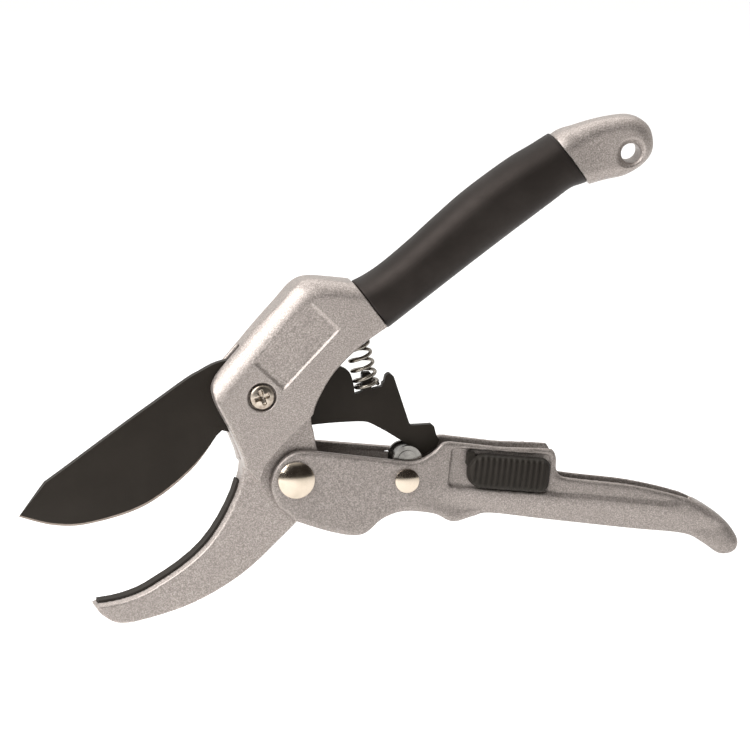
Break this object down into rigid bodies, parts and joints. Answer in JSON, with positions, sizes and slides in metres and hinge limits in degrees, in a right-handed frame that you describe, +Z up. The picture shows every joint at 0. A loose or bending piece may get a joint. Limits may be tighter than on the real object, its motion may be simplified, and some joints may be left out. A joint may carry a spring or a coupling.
{
  "type": "anvil pruner",
  "caption": "Anvil pruner: cast handle with curved anvil jaw, coated blade driven by a roller lever, return spring, sliding lock, dipped grip and hang hole.",
  "frame": {"origin": "centre of the hang hole, on the tool's middle plane", "axes": "+X towards the end of the upper handle, away from the jaws; +Y from the front of the tool, with the screw head and the lock, to the back; +Z up, from the lower handle to the upper"},
  "size_m": [0.2057, 0.0192, 0.1392],
  "materials": {
    "cast_aluminium": "shot-blasted die casting with a clear sparkling lacquer",
    "grip_rubber": "matte dipped vinyl",
    "anvil_steel": "dark, scuffed lengthwise",
    "coated_blade": "matte non-stick coating over ground steel",
    "nickel_plate": "bright nickel",
    "plated_steel": "dull zinc plate",
    "black_plastic": "moulded, fine satin"
  },
  "bodies": {
    "frame": {"frame_casting": "cast_aluminium", "grip_sleeve": "grip_rubber", "anvil_plate": "anvil_steel", "anvil_pegs": "plated_steel", "pivot_screw": "nickel_plate", "pivot_nut": "plated_steel", "blade_washers": "plated_steel", "handle_bush": "plated_steel", "handle_washers": "plated_steel", "return_spring": "nickel_plate"},
    "blade": {"blade": "coated_blade"},
    "lower_handle": {"lower_handle": "cast_aluminium", "handle_rivet": "nickel_plate", "link_rivet": "nickel_plate", "lock_detent": "plated_steel"},
    "rocker": {"rocker": "plated_steel", "roller_pin": "plated_steel"},
    "roller": {"roller": "plated_steel"},
    "lock": {"lock_button": "black_plastic", "lock_bolt": "plated_steel", "lock_rivet": "plated_steel"}
  },
  "joints": [
    {"name": "handle_pivot", "type": "hinge", "parent": "frame", "child": "lower_handle", "pos_m": [-0.0963, 0, -0.089], "axis": [0, -1, 0], "range_deg": [0, 40.8]},
    {"name": "blade_pivot", "type": "hinge", "parent": "frame", "child": "blade", "pos_m": [-0.106, 0, -0.065], "axis": [0, -1, 0], "range_deg": [0, 23.75], "deforming": ["return_spring"]},
    {"name": "rocker_pivot", "type": "hinge", "parent": "lower_handle", "child": "rocker", "pos_m": [-0.0647, 0, -0.0904], "axis": [0, -1, 0], "range_deg": [0, 12]},
    {"name": "roller_spin", "type": "hinge", "parent": "rocker", "child": "roller", "pos_m": [-0.0639, 0, -0.0852], "axis": [0, -1, 0], "continuous": true},
    {"name": "lock_slide", "type": "slide", "parent": "lower_handle", "child": "lock", "axis": [-0.9936, 0, 0.1132], "range_m": [0, 0.0039]}
  ],
  "couplings": [
    {"joint": "blade_pivot", "follows": "handle_pivot", "ratio": 0.5821}
  ]
}
